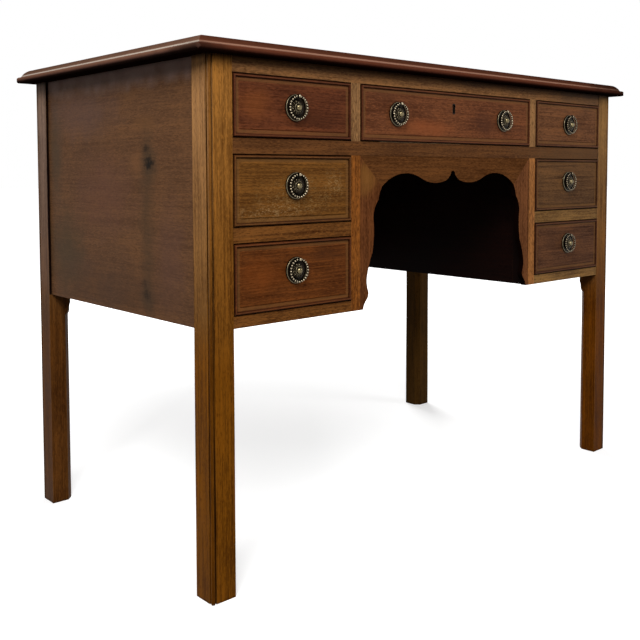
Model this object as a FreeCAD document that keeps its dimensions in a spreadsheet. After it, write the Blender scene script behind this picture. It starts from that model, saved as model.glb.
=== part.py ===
"""Kneehole writing table in mahogany: seven drawers with brass ring pulls under a moulded top.

Millimetres. The origin is on the floor under the middle of the table, +Z is up and the drawers open to -Y.
"""
import FreeCAD, Part
import os
import types

import Sketcher

SIZES = (
    # the top and its moulded edge
    ("table_height", 760, "floor to the flat of the top"),
    ("end_overhang", 28, "top past the legs at the left and right"),
    ("front_overhang", 18.5, "top past the legs at the front and back"),
    ("nose_radius", 5.2, "half-round nose along the lower edge"),
    ("shelf_run", 1.8, "flat above the nose"),
    ("step_drop", 1.1, "small upright step above the shelf"),
    ("ovolo_run", 10, "ovolo, across"),
    ("ovolo_drop", 10, "ovolo, down"),
    ("ovolo_bulge", 1.3, "how far the ovolo stands out from a plain slope"),
    ("corner_radius", 5, "rounding of the nose at the corners, in plan"),
    # legs
    ("frame_length", 998, "across the outer faces of the legs, left to right"),
    ("frame_width", 527, "across the outer faces of the legs, front to back"),
    ("leg_side", 38.5, "side of the square leg"),
    ("bead_radius", 2.6, "bead on the outer corner of each leg"),
    ("quirk_width", 1.4, "groove on each side of that bead"),
    ("leg_chamfer", 10, "chamfer on the inner corner of each leg"),
    ("chamfer_start", 17, "square corner left below the case"),
    ("chamfer_run", 22, "length of the lamb's-tongue stop"),
    ("tongue_share", 2.6, "depth of the chamfer where the stop's curve turns over"),
    ("tongue_bulge", 0.9, "swelling of each half of the stop's curve"),
    # heights in the front, from the top down
    ("top_rail_tall", 21.5, "rail under the top"),
    ("top_opening", 87.5, "top row of drawers"),
    ("middle_rail_tall", 21.5, "rail under the top row"),
    ("mid_opening", 100, "middle drawers"),
    ("drawer_rail_tall", 21, "rails between the side drawers"),
    ("low_opening", 99.5, "bottom drawers"),
    ("bottom_rail_tall", 16.5, "bottom rails"),
    # front frame
    ("knee_width", 441, "kneehole, between the stiles"),
    ("stile_width", 19, "stiles and dividers, seen from the front"),
    ("rail_set", 1, "rails behind the face of the legs"),
    ("rail_depth", 40, "rails, front to back"),
    ("tenon_length", 20, "tenons into the legs"),
    ("tenon_thick", 14, "tenons, front to back"),
    ("tenon_set", 12, "face of the rail to the tenon"),
    ("tenon_shoulder", 4, "shoulder above and below a tenon"),
    ("stub_length", 8, "short tenons into stiles and rails"),
    ("dovetail_length", 15, "top rail's dovetails into the ends of the legs"),
    ("dovetail_root", 16, "top rail's dovetail at the shoulder, front to back"),
    ("dovetail_flare", 3, "widening of that dovetail on each side"),
    ("dovetail_deep", 12, "depth of that dovetail in the leg's end"),
    # panels
    ("panel_thick", 12, "side panels"),
    ("panel_set", 4.5, "side panels behind the face of the legs"),
    ("back_thick", 10, "back panel"),
    ("back_set", 5, "back panel behind the face of the rear legs"),
    ("panel_tongue", 8, "side and back panels into the legs"),
    ("wall_thick", 12, "inner wall of a pedestal"),
    ("wall_tongue", 5, "inner wall into the front frame and the back panel"),
    # scalloped trim round the kneehole
    ("apron_thick", 10, "apron and brackets"),
    ("apron_set", 0.3, "apron behind the face of the rails"),
    ("mitre_side", 48, "width and depth of the mitred corner"),
    ("arch_end", 84, "middle to the inner end of each arch"),
    ("arch_end_drop", 33.7, "that point below the middle rail"),
    ("arch_bulge", 12.8, "rise of each arch"),
    ("lobe_end", 16, "middle to the inner end of each lobe"),
    ("lobe_end_drop", 38.7, "that point below the middle rail"),
    ("lobe_bulge", 6.9, "fall of each lobe"),
    ("notch_half", 5.4, "half the width of the round notch"),
    ("notch_drop", 28.5, "foot of the notch's round below the middle rail"),
    ("notch_flare", 0.7, "curve between the notch and the lobe"),
    ("cusp_inset", 40, "bracket's upper cusp from the stile"),
    ("cusp_drop", 69, "that cusp below the middle rail"),
    ("cusp_bulge", 1, "curve above the cusp"),
    ("hollow_inset", 29.4, "end of the hollow from the stile"),
    ("hollow_drop", 97, "end of the hollow below the middle rail"),
    ("hollow_bulge", 3, "depth of the hollow"),
    ("swell_inset", 27, "end of the swelling from the stile"),
    ("swell_drop", 150, "end of the swelling below the middle rail"),
    ("swell_bulge", 2.2, "height of the swelling"),
    ("waist_inset", 15, "narrow waist from the stile"),
    ("waist_rise", 49, "waist above the case's underside"),
    ("waist_bulge", 1.3, "curve down to the waist"),
    ("toe_inset", 18.5, "toe from the stile"),
    ("toe_rise", 27, "toe above the case's underside"),
    ("toe_bulge", 1.5, "curves round the toe"),
    ("toe_under_rise", 15, "underside of the toe above the case's underside"),
    ("foot_inset", 7, "bracket's end from the stile"),
    # drawers
    ("drawer_gap", 1.6, "round a drawer front"),
    ("front_thick", 17, "drawer fronts"),
    ("cock_width", 4.2, "bead round a drawer front"),
    ("cock_straight", 1, "straight part of that bead above the front"),
    ("cock_bulge", 1.6, "round of that bead"),
    ("band_width", 5.8, "flat between the bead and the raised field"),
    ("field_rise", 0.8, "raised field of a drawer front"),
    ("field_slope", 0.8, "bevel round the field"),
    ("side_thick", 9, "drawer sides"),
    ("side_headroom", 3, "drawer side below the opening's upper edge"),
    ("back_room", 43, "room behind a closed drawer"),
    ("tail_lap", 11, "dovetails into the front"),
    ("tail_root", 16, "narrow end of a dovetail"),
    ("tail_flare", 2.5, "widening of a dovetail on each side"),
    ("bottom_thick", 5, "drawer bottoms"),
    ("bottom_rise", 8, "drawer bottom above the edge of the sides"),
    ("groove_deep", 4, "grooves for bottoms and backs"),
    ("drawer_back_thick", 10, "drawer backs"),
    ("back_inset", 12, "drawer back from the end of the sides"),
    ("back_headroom", 5, "drawer back below the top of the sides"),
    # what carries, stops and holds
    ("runner_tall", 16.5, "drawer runners"),
    ("runner_reach", 18, "runner under the drawer"),
    ("guide_tall", 10, "guides beside the drawers"),
    ("guide_gap", 0.5, "guide to the drawer side"),
    ("stop_width", 24, "drawer stops"),
    ("stop_tall", 5, "drawer stops"),
    ("stop_inset", 36, "drawer stop from the opening's edge"),
    ("block_side", 18, "glue blocks, section"),
    ("block_length", 60, "glue blocks"),
    ("block_inset", 40, "glue block from the leg beside it"),
    # handles
    ("handle_spread", 277, "between the centre drawer's two handles"),
    ("top_handle_lift", 0.8, "handles above the middle of the top drawers"),
    ("handle_lift", 5.7, "handles above the middle of the other drawers"),
    ("plate_radius", 19.1, "backplate"),
    ("plate_thick", 1.2, "backplate"),
    ("rim_width", 2.8, "rolled rim of the backplate"),
    ("rim_bulge", 1.3, "round of that rim"),
    ("cup_foot", 12.3, "radius of the raised rosette where it leaves the backplate"),
    ("cup_radius", 11.4, "radius of the rosette's shoulder"),
    ("cup_rise", 4.8, "rosette's shoulder"),
    ("dome_rise", 6.4, "rosette at the collar"),
    ("dome_bulge", 0.5, "round of the rosette"),
    ("collar_radius", 5.9, "flat collar round the boss"),
    ("collar_step", 0.6, "upright side of the collar"),
    ("boss_radius", 4.4, "round boss in the middle"),
    ("boss_step", 0.7, "upright side of the boss"),
    ("boss_rise", 10, "top of the boss"),
    ("boss_flat", 1, "radius of the flat on top of the boss"),
    ("boss_bulge", 0.7, "round of the boss"),
    ("ring_radius", 16, "ring pull, to the middle of the wire"),
    ("ring_wire", 1.15, "radius of the ring's wire"),
    ("ring_stand", 7.6, "ring in front of the drawer's field"),
    ("eye_radius", 2.5, "eye that holds the ring"),
    ("eye_length", 4, "eye, along the pin line"),
    ("eye_clear", 0.45, "ring to the bore of the eye"),
    ("stalk_radius", 1.6, "stalk of the eye"),
    ("screw_radius", 2, "screw behind the backplate"),
    ("screw_clear", 0.2, "screw in its hole"),
    ("screw_tail", 7, "screw behind the drawer front"),
    ("nut_radius", 5, "nut"),
    ("nut_thick", 4, "nut"),
    # lock of the centre drawer
    ("lock_width", 56, "lock case"),
    ("lock_tall", 34, "lock case"),
    ("lock_thick", 7, "lock case"),
    ("bolt_width", 18, "lock bolt"),
    ("bolt_tall", 17, "lock bolt"),
    ("bolt_thick", 4, "lock bolt"),
    ("bolt_set", 2, "lock bolt behind the face of the case"),
    ("bolt_sink", 0.3, "lock bolt below the top of the case"),
    ("bolt_clear", 0.4, "lock bolt in its case"),
    ("bolt_throw", 7, "travel of the bolt"),
    ("strike_clear", 1, "room round the bolt in the top rail"),
    ("keyhole_drop", 21.8, "keyhole's round below the top of the drawer front"),
    ("keyhole_radius", 2.9, "keyhole's round"),
    ("keyhole_neck", 2.2, "middle of the round down to the slot"),
    ("keyhole_half", 2, "half the width of the slot"),
    ("keyhole_leg", 12, "middle of the round down to the end of the slot"),
    ("key_room", 3, "keyhole into the lock case"),
    ("thread_width", 1.2, "brass lining of the keyhole"),
    ("thread_deep", 3, "brass lining into the front"),
    ("thread_stand", 0.2, "brass lining proud of the field"),
)

MITRE = 0.5 ** 0.5  # sine of half a right angle
TOUCH = 0.001  # points closer than this are the same


class Size:
    """A length that knows the sheet formula it comes from."""

    def __init__(self, value, formula):
        self.value = value
        self.formula = formula

    def __add__(self, other):
        other = size(other)
        return Size(self.value + other.value, f"({self.formula} + {other.formula})")

    def __sub__(self, other):
        other = size(other)
        return Size(self.value - other.value, f"({self.formula} - {other.formula})")

    def __mul__(self, number):
        return Size(self.value * number, f"{self.formula} * ({number})")

    def __neg__(self):
        return self * -1

    def __truediv__(self, number):
        return Size(self.value / number, f"{self.formula} / {number}")

    __rmul__ = __mul__


def size(thing):
    """A Size from a Size or a plain number."""
    return thing if isinstance(thing, Size) else Size(float(thing), f"({float(thing)})")


doc = FreeCAD.newDocument("writing_table")


def fill_sheet():
    """Write the sizes into a spreadsheet and give them back by name."""
    sheet = doc.addObject("Spreadsheet::Sheet", "sizes")
    named = {}
    for row, (alias, number, note) in enumerate(SIZES, start=1):
        sheet.set(f"A{row}", alias)
        sheet.set(f"B{row}", str(number))
        sheet.set(f"C{row}", note)
        sheet.setAlias(f"B{row}", alias)
        named[alias] = Size(float(number), f"sizes.{alias}")
    doc.recompute()
    return types.SimpleNamespace(**named)


s = fill_sheet()

# sketch planes: flat on the floor, seen from the front, seen from the left
FLAT = FreeCAD.Rotation()
FRONT = FreeCAD.Rotation(FreeCAD.Vector(1, 0, 0), 90)
SIDE = FreeCAD.Rotation(FreeCAD.Vector(1, 1, 1), 120)
ALONG_X = FreeCAD.Rotation(FreeCAD.Vector(0, 1, 0), 90)

# levels and lines that several pieces share
ZERO = size(0)
FACE = -s.frame_width / 2
RAIL_FACE = FACE + s.rail_set
RAIL_BACK = RAIL_FACE + s.rail_depth
RAIL_Y = (RAIL_FACE, RAIL_BACK)
TENON_Y = (RAIL_FACE + s.tenon_set, RAIL_FACE + s.tenon_set + s.tenon_thick)
BOX_START = RAIL_FACE + s.front_thick
FIELD = RAIL_FACE - s.field_rise
LEG_IN = s.frame_length / 2 - s.leg_side
LEG_BACK = s.frame_width / 2 - s.leg_side
KNEE = s.knee_width / 2
STILE_OUT = KNEE + s.stile_width
WALL_OUT = KNEE + s.wall_thick
PANEL_OUT = s.frame_length / 2 - s.panel_set
PANEL_IN = PANEL_OUT - s.panel_thick
BACK_OUT = s.frame_width / 2 - s.back_set
BACK_IN = BACK_OUT - s.back_thick
UNDER_TOP = s.table_height - s.ovolo_drop - s.step_drop - s.nose_radius * 2
TOP_CEILING = UNDER_TOP - s.top_rail_tall
TOP_FLOOR = TOP_CEILING - s.top_opening
MID_CEILING = TOP_FLOOR - s.middle_rail_tall
MID_FLOOR = MID_CEILING - s.mid_opening
LOW_CEILING = MID_FLOOR - s.drawer_rail_tall
LOW_FLOOR = LOW_CEILING - s.low_opening
CASE_FOOT = LOW_FLOOR - s.bottom_rail_tall

nodes = []


def bind(thing, prop, length):
    """Tie a property to the sheet."""
    thing.setExpression(prop, size(length).formula)


def place(thing, rotation, base):
    """Turn a piece and tie its place to the sheet."""
    thing.Placement = FreeCAD.Placement(FreeCAD.Vector(), rotation)
    for axis, length in zip("xyz", base):
        bind(thing, "Placement.Base." + axis, length)


def box(name, x, y, z):
    """A block between pairs of planes."""
    block = doc.addObject("Part::Box", name)
    for prop, (low, high) in zip(("Length", "Width", "Height"), (x, y, z)):
        bind(block, prop, high - low)
    place(block, FLAT, (x[0], y[0], z[0]))
    return block


def rod(name, radius, length, rotation, base):
    """A round bar from its base along its turned axis."""
    bar = doc.addObject("Part::Cylinder", name)
    bind(bar, "Radius", radius)
    bind(bar, "Height", length)
    place(bar, rotation, base)
    return bar


def pin(sketch, edge, point, kind, length):
    """Tie one coordinate of a sketch point to the sheet."""
    mark = sketch.addConstraint(Sketcher.Constraint(kind, -1, 1, edge, point, length.value))
    bind(sketch, f"Constraints[{mark}]", length)


def add_arc(sketch, here, there, bulge):
    """An arc between two points that stands out by bulge to the left of its path; gives its number and direction."""
    across = there[0] - here[0]
    along = there[1] - here[1]
    start = FreeCAD.Vector(here[0].value, here[1].value, 0)
    end = FreeCAD.Vector(there[0].value, there[1].value, 0)
    left = FreeCAD.Vector(-along.value, across.value, 0).normalize()
    edge = sketch.addGeometry(Part.Arc(start, (start + end) / 2 + left * bulge.value, end), False)
    # the centre lies on the line that halves the chord; its distance from the chord is taken over the chord's length
    chord = f"sqrt(({across.formula})^2 + ({along.formula})^2)"
    shift = f"({bulge.formula} / (2 * {chord}) - {chord} / (8 * {bulge.formula}))"
    centre = sketch.getPoint(edge, 3)
    if abs(along.value) > abs(across.value):
        middle = (here[0] + there[0]) / 2
        pin(sketch, edge, 3, "DistanceX", Size(centre.x, f"{middle.formula} - {along.formula} * {shift}"))
    else:
        middle = (here[1] + there[1]) / 2
        pin(sketch, edge, 3, "DistanceY", Size(centre.y, f"{middle.formula} + {across.formula} * {shift}"))
    forward = sketch.getPoint(edge, 1).isEqual(start, TOUCH)
    return edge, forward


def outline(name, plane, base, points):
    """A closed sketch. A point with a third value ends an arc that bulges that far to the left of its path."""
    sketch = doc.addObject("Sketcher::SketchObject", name)
    place(sketch, plane, base)
    ends = []
    for here, there in zip(points, points[1:] + points[:1]):
        if len(there) == 3:
            edge, forward = add_arc(sketch, here, there, there[2])
        else:
            start = FreeCAD.Vector(here[0].value, here[1].value, 0)
            end = FreeCAD.Vector(there[0].value, there[1].value, 0)
            edge = sketch.addGeometry(Part.LineSegment(start, end), False)
            forward = True
        first, last = (1, 2) if forward else (2, 1)
        pin(sketch, edge, first, "DistanceX", here[0])
        pin(sketch, edge, first, "DistanceY", here[1])
        ends.append((edge, first, last))
    for (edge, _, last), (follower, first, _) in zip(ends, ends[1:] + ends[:1]):
        sketch.addConstraint(Sketcher.Constraint("Coincident", edge, last, follower, first))
    return sketch


def extrude(name, sketch, length):
    """A solid from a sketch, along the sketch's normal."""
    solid = doc.addObject("Part::Extrusion", name)
    solid.Base = sketch
    solid.DirMode = "Normal"
    solid.Solid = True
    bind(solid, "LengthFwd", length)
    return solid


def board(name, plane, base, points, thickness):
    """A sawn board: an outline with a thickness."""
    return extrude(name, outline(name + "_outline", plane, base, points), thickness)


def joined(name, pieces):
    """Pieces worked from one blank."""
    whole = doc.addObject("Part::MultiFuse", name)
    whole.Shapes = pieces
    whole.Refine = True
    return whole


def cut(name, whole, tools):
    """A piece with its neighbours' shapes and its holes taken out."""
    rest = doc.addObject("Part::Cut", name)
    rest.Base = whole
    rest.Tool = tools[0] if len(tools) == 1 else group(name + "_cuts", tools)
    rest.Refine = True
    return rest


def group(name, pieces):
    """Separate solids kept together."""
    together = doc.addObject("Part::Compound", name)
    together.Links = pieces
    return together


def node(piece):
    """Mark a finished piece for its own file."""
    piece.Label = piece.Name
    nodes.append(piece)
    return piece


def mirrored(side, low, high):
    """A span on the right, or the same span on the left."""
    return (low, high) if side > 0 else (-high, -low)


def moulded_section(half):
    """Cross-section of the top, with the moulding on both edges."""
    nose_top = UNDER_TOP + s.nose_radius * 2
    nose_end = half - s.nose_radius
    step = nose_end - s.shelf_run
    flat_end = step - s.ovolo_run
    ovolo_foot = nose_top + s.step_drop
    return [
        (-nose_end, UNDER_TOP),
        (-nose_end, nose_top, s.nose_radius),
        (-step, nose_top),
        (-step, ovolo_foot),
        (-flat_end, s.table_height, s.ovolo_bulge),
        (flat_end, s.table_height),
        (step, ovolo_foot, s.ovolo_bulge),
        (step, nose_top),
        (nose_end, nose_top),
        (nose_end, UNDER_TOP, s.nose_radius),
    ]


def make_top():
    """The moulding runs round all four edges and meets in mitres, then the corners are eased."""
    half_length = s.frame_length / 2 + s.end_overhang
    half_width = s.frame_width / 2 + s.front_overhang
    in_x = half_length - s.corner_radius
    in_y = half_width - s.corner_radius
    ease = -s.corner_radius * (1 - MITRE)
    along = board("top_along", SIDE, (-half_length, ZERO, ZERO), moulded_section(half_width), half_length * 2)
    across = board("top_across", FRONT, (ZERO, half_width, ZERO), moulded_section(half_length), half_width * 2)
    plan = board("top_plan", FLAT, (ZERO, ZERO, UNDER_TOP), [
        (-in_x, -half_width, ease),
        (in_x, -half_width),
        (half_length, -in_y, ease),
        (half_length, in_y),
        (in_x, half_width, ease),
        (-in_x, half_width),
        (-half_length, in_y, ease),
        (-half_length, -in_y),
    ], s.table_height - UNDER_TOP)
    top = doc.addObject("Part::MultiCommon", "table_top")
    top.Shapes = [along, across, plan]
    top.Refine = True
    node(top)


def leg_blank(name, side, end):
    """A square leg, beaded on its outer corner, and the cutter that chamfers its inner corner.

    side and end are the leg's signs in X and Y.
    """
    round_in = s.bead_radius
    bead_end = s.bead_radius * 2
    quirk_end = bead_end + s.quirk_width
    bulge = s.bead_radius * (-side * end * (1 + MITRE))

    def at(inward_x, inward_y, *arc):
        return ((s.frame_length / 2 - inward_x) * side, (s.frame_width / 2 - inward_y) * end, *arc)

    post = board(name + "_post", FLAT, (ZERO, ZERO, ZERO), [
        at(quirk_end, ZERO),
        at(s.leg_side, ZERO),
        at(s.leg_side, s.leg_side),
        at(ZERO, s.leg_side),
        at(ZERO, quirk_end),
        at(round_in, quirk_end),
        at(round_in, bead_end),
        at(bead_end, round_in, bulge),
        at(quirk_end, round_in),
    ], UNDER_TOP)

    deep = s.leg_chamfer * MITRE
    stop_top = CASE_FOOT - s.chamfer_start
    stop_foot = stop_top - s.chamfer_run
    turn = stop_foot + s.chamfer_run / 2
    outward = FreeCAD.Vector(side, end, 0)
    diagonal = FreeCAD.Rotation(FreeCAD.Vector(1, 0, 0), outward).multiply(FRONT)
    shave = board(name + "_shave", diagonal, (LEG_IN * side, LEG_BACK * end, ZERO), [
        (-deep, ZERO),
        (deep, ZERO),
        (deep, stop_foot),
        (s.tongue_share, turn, s.tongue_bulge),
        (ZERO, stop_top, -s.tongue_bulge),
        (-deep, stop_top),
    ], s.leg_side)
    shave.Symmetric = True
    return post, shave


def rail(name, side, floor, ceiling):
    """A short front rail on one side, tenoned into its leg and its stile."""
    tenon_z = (floor + s.tenon_shoulder, ceiling - s.tenon_shoulder)
    body = box(name + "_body", mirrored(side, STILE_OUT, LEG_IN), RAIL_Y, (floor, ceiling))
    outer = box(name + "_tenon", mirrored(side, LEG_IN, LEG_IN + s.tenon_length), TENON_Y, tenon_z)
    inner = box(name + "_stub", mirrored(side, STILE_OUT - s.stub_length, STILE_OUT), TENON_Y, tenon_z)
    return node(joined(name, [body, outer, inner]))


def upright(name, side, floor, ceiling, tenon_floor):
    """A stile or divider with stub tenons; a divider's tenon starts below its floor."""
    tenon_x = mirrored(side, KNEE + s.tenon_shoulder, STILE_OUT - s.tenon_shoulder)
    return joined(name + "_blank", [
        box(name + "_body", mirrored(side, KNEE, STILE_OUT), RAIL_Y, (floor, ceiling)),
        box(name + "_stubs", tenon_x, TENON_Y, (tenon_floor, ceiling + s.stub_length)),
    ])


def make_frame():
    """Legs, panels, rails and uprights, each cut by the tongues and tenons that it holds."""
    case = (CASE_FOOT, UNDER_TOP)
    walls = {}
    panels = {}
    for side, hand in ((-1, "left"), (1, "right")):
        wall_y = (RAIL_BACK - s.wall_tongue, BACK_IN + s.wall_tongue)
        walls[side] = node(box("kneehole_wall_" + hand, mirrored(side, KNEE, WALL_OUT), wall_y, case))
        panel_y = (-LEG_BACK - s.panel_tongue, LEG_BACK + s.panel_tongue)
        panels[side] = node(box("side_panel_" + hand, mirrored(side, PANEL_IN, PANEL_OUT), panel_y, case))
    back_x = (-LEG_IN - s.panel_tongue, LEG_IN + s.panel_tongue)
    back = box("back_panel_blank", back_x, (BACK_IN, BACK_OUT), case)
    node(cut("back_panel", back, [walls[-1], walls[1]]))

    rails = {}
    uprights = {}
    for side, hand in ((-1, "left"), (1, "right")):
        rails[side] = [
            rail("bottom_rail_" + hand, side, CASE_FOOT, LOW_FLOOR),
            rail("drawer_rail_" + hand, side, LOW_CEILING, MID_FLOOR),
        ]
        stile = upright("stile_" + hand, side, CASE_FOOT, MID_CEILING, CASE_FOOT)
        divider = upright("divider_" + hand, side, TOP_FLOOR, TOP_CEILING, TOP_FLOOR - s.stub_length)
        node(cut("stile_" + hand, stile, rails[side] + [walls[side]]))
        node(cut("divider_" + hand, divider, [walls[side]]))
        uprights[side] = [stile, divider]

    span = (-LEG_IN, LEG_IN)
    grooves = [walls[-1], walls[1]]
    tenon_z = (MID_CEILING + s.tenon_shoulder, TOP_FLOOR - s.tenon_shoulder)
    middle = joined("middle_rail_blank", [
        box("middle_rail_body", span, RAIL_Y, (MID_CEILING, TOP_FLOOR)),
        box("middle_rail_tenons", (-LEG_IN - s.tenon_length, LEG_IN + s.tenon_length), TENON_Y, tenon_z),
    ])
    node(cut("middle_rail", middle, uprights[-1] + uprights[1] + grooves))

    root_low = TENON_Y[0]
    root_high = root_low + s.dovetail_root
    tip = LEG_IN + s.dovetail_length
    tails = board("top_rail_tails", FLAT, (ZERO, ZERO, UNDER_TOP - s.dovetail_deep), [
        (-tip, root_low - s.dovetail_flare),
        (-LEG_IN, root_low),
        (LEG_IN, root_low),
        (tip, root_low - s.dovetail_flare),
        (tip, root_high + s.dovetail_flare),
        (LEG_IN, root_high),
        (-LEG_IN, root_high),
        (-tip, root_high + s.dovetail_flare),
    ], s.dovetail_deep)
    top = joined("top_rail_blank", [box("top_rail_body", span, RAIL_Y, (TOP_CEILING, UNDER_TOP)), tails])
    node(cut("top_rail", top, [uprights[-1][1], uprights[1][1], lock_strike()] + grooves))

    for side, hand in ((-1, "left"), (1, "right")):
        for end, place_name in ((-1, "front"), (1, "rear")):
            name = f"leg_{place_name}_{hand}"
            post, shave = leg_blank(name, side, end)
            held = [shave, panels[side]]
            held += rails[side] + [middle, tails] if end < 0 else [back]
            node(cut(name, post, held))


def make_trim():
    """Scalloped apron and brackets, mitred where they meet."""
    base = (ZERO, RAIL_FACE + s.apron_set + s.apron_thick, ZERO)
    top = MID_CEILING
    mitre = KNEE - s.mitre_side
    node(board("apron", FRONT, base, [
        (-KNEE, top),
        (-mitre, top - s.mitre_side),
        (-s.arch_end, top - s.arch_end_drop, s.arch_bulge),
        (-s.lobe_end, top - s.lobe_end_drop, -s.lobe_bulge),
        (-s.notch_half, top - s.notch_drop, -s.notch_flare),
        (s.notch_half, top - s.notch_drop, s.notch_half),
        (s.lobe_end, top - s.lobe_end_drop, -s.notch_flare),
        (s.arch_end, top - s.arch_end_drop, -s.lobe_bulge),
        (mitre, top - s.mitre_side, s.arch_bulge),
        (KNEE, top),
    ], s.apron_thick))
    foot = CASE_FOOT
    for side, hand in ((-1, "left"), (1, "right")):

        def at(inset, height, *arc):
            return ((KNEE - inset) * side, height, *(bulge * side for bulge in arc))

        node(board("bracket_" + hand, FRONT, base, [
            at(ZERO, top),
            at(s.mitre_side, top - s.mitre_side),
            at(s.cusp_inset, top - s.cusp_drop, s.cusp_bulge),
            at(s.hollow_inset, top - s.hollow_drop, s.hollow_bulge),
            at(s.swell_inset, top - s.swell_drop, -s.swell_bulge),
            at(s.waist_inset, foot + s.waist_rise, s.waist_bulge),
            at(s.toe_inset, foot + s.toe_rise, s.toe_bulge),
            at(s.waist_inset, foot + s.toe_under_rise, -s.toe_bulge),
            at(s.foot_inset, foot, s.toe_bulge),
            at(ZERO, foot),
        ], s.apron_thick))


def make_runners():
    """A runner with a guide on it beside every side drawer, and plain runners for the centre drawer."""
    inset = s.drawer_gap - s.guide_gap
    strips = (
        ("outer", (LEG_IN - s.runner_reach, PANEL_IN), (LEG_IN - inset, PANEL_IN), LEG_BACK),
        ("inner", (WALL_OUT, STILE_OUT + s.runner_reach), (WALL_OUT, STILE_OUT + inset), BACK_IN),
    )
    runners = []
    for side, hand in ((-1, "left"), (1, "right")):
        for row, floor in (("low", LOW_FLOOR), ("mid", MID_FLOOR), ("top", TOP_FLOOR)):
            for where, under, beside, end in strips:
                name = f"{hand}_{row}_{where}"
                run = (RAIL_BACK, end)
                runners.append(box("runner_" + name, mirrored(side, *under), run, (floor - s.runner_tall, floor)))
                runners.append(box("guide_" + name, mirrored(side, *beside), run, (floor, floor + s.guide_tall)))
        reach_in = mirrored(side, KNEE - s.runner_reach, KNEE)
        floor_z = (TOP_FLOOR - s.runner_tall, TOP_FLOOR)
        runners.append(box(f"runner_{hand}_centre", reach_in, (RAIL_BACK, BACK_IN), floor_z))
    node(group("drawer_runners", runners))


def make_blocks():
    """Glue blocks that hold the top to the side and back panels."""
    blocks = []
    height = (UNDER_TOP - s.block_side, UNDER_TOP)
    for side, hand in ((-1, "left"), (1, "right")):
        beside = mirrored(side, PANEL_IN - s.block_side, PANEL_IN)
        rear = LEG_BACK - s.block_inset
        front = -LEG_BACK + s.block_inset
        middle = s.block_length / 2
        for where, low in (("front", front), ("middle", -middle), ("rear", rear - s.block_length)):
            blocks.append(box(f"block_{hand}_{where}", beside, (low, low + s.block_length), height))
        start = LEG_IN - s.block_inset - s.block_length
        behind = (BACK_IN - s.block_side, BACK_IN)
        for where, low in (("wide", start), ("knee", KNEE - s.block_inset - s.block_length)):
            along = mirrored(side, low, low + s.block_length)
            blocks.append(box(f"block_back_{hand}_{where}", along, behind, height))
    node(group("glue_blocks", blocks))


def lock_top():
    """Upper edge of the centre drawer's front, where the lock ends."""
    return TOP_CEILING - s.drawer_gap


def bolt_space(name, clear, floor, ceiling):
    """The lock bolt's path, with room round it."""
    half = s.bolt_width / 2 + clear
    near = BOX_START - s.lock_thick + s.bolt_set - clear
    far = BOX_START - s.lock_thick + s.bolt_set + s.bolt_thick + clear
    return box(name, (-half, half), (near, far), (floor, ceiling))


def lock_strike():
    """Mortise in the top rail for the lock bolt."""
    return bolt_space("lock_strike", s.strike_clear, TOP_CEILING, TOP_CEILING + s.bolt_throw)


def keyhole(name, grow, near, far):
    """A keyhole-shaped bar from near to far."""
    centre = lock_top() - s.keyhole_drop
    neck = centre - s.keyhole_neck
    half = s.keyhole_half + grow
    low = centre - s.keyhole_leg - grow
    crown = -(s.keyhole_radius + s.keyhole_neck + grow)
    return board(name, FRONT, (ZERO, far, ZERO), [
        (-half, low),
        (half, low),
        (half, neck),
        (-half, neck, crown),
    ], far - near)


def make_lock():
    """Lock case let into the centre drawer's front, its sliding bolt and the brass lining of the keyhole."""
    top = lock_top()
    bolt_top = top - s.bolt_sink
    bolt_foot = bolt_top - s.bolt_tall
    case_y = (BOX_START - s.lock_thick, BOX_START)
    half = s.lock_width / 2
    case = box("lock_blank", (-half, half), case_y, (top - s.lock_tall, top))
    shaft = bolt_space("bolt_shaft", s.bolt_clear, bolt_foot - s.bolt_clear, top)
    key_way = keyhole("key_way", ZERO, FIELD - s.cock_width, case_y[0] + s.key_room)
    node(cut("lock_case", case, [shaft, key_way]))
    node(bolt_space("lock_bolt", ZERO, bolt_foot, bolt_top))
    lining = keyhole("escutcheon_blank", s.thread_width, FIELD - s.thread_stand, FIELD + s.thread_deep)
    node(cut("escutcheon", lining, [key_way]))
    return [case, lining, key_way]


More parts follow.
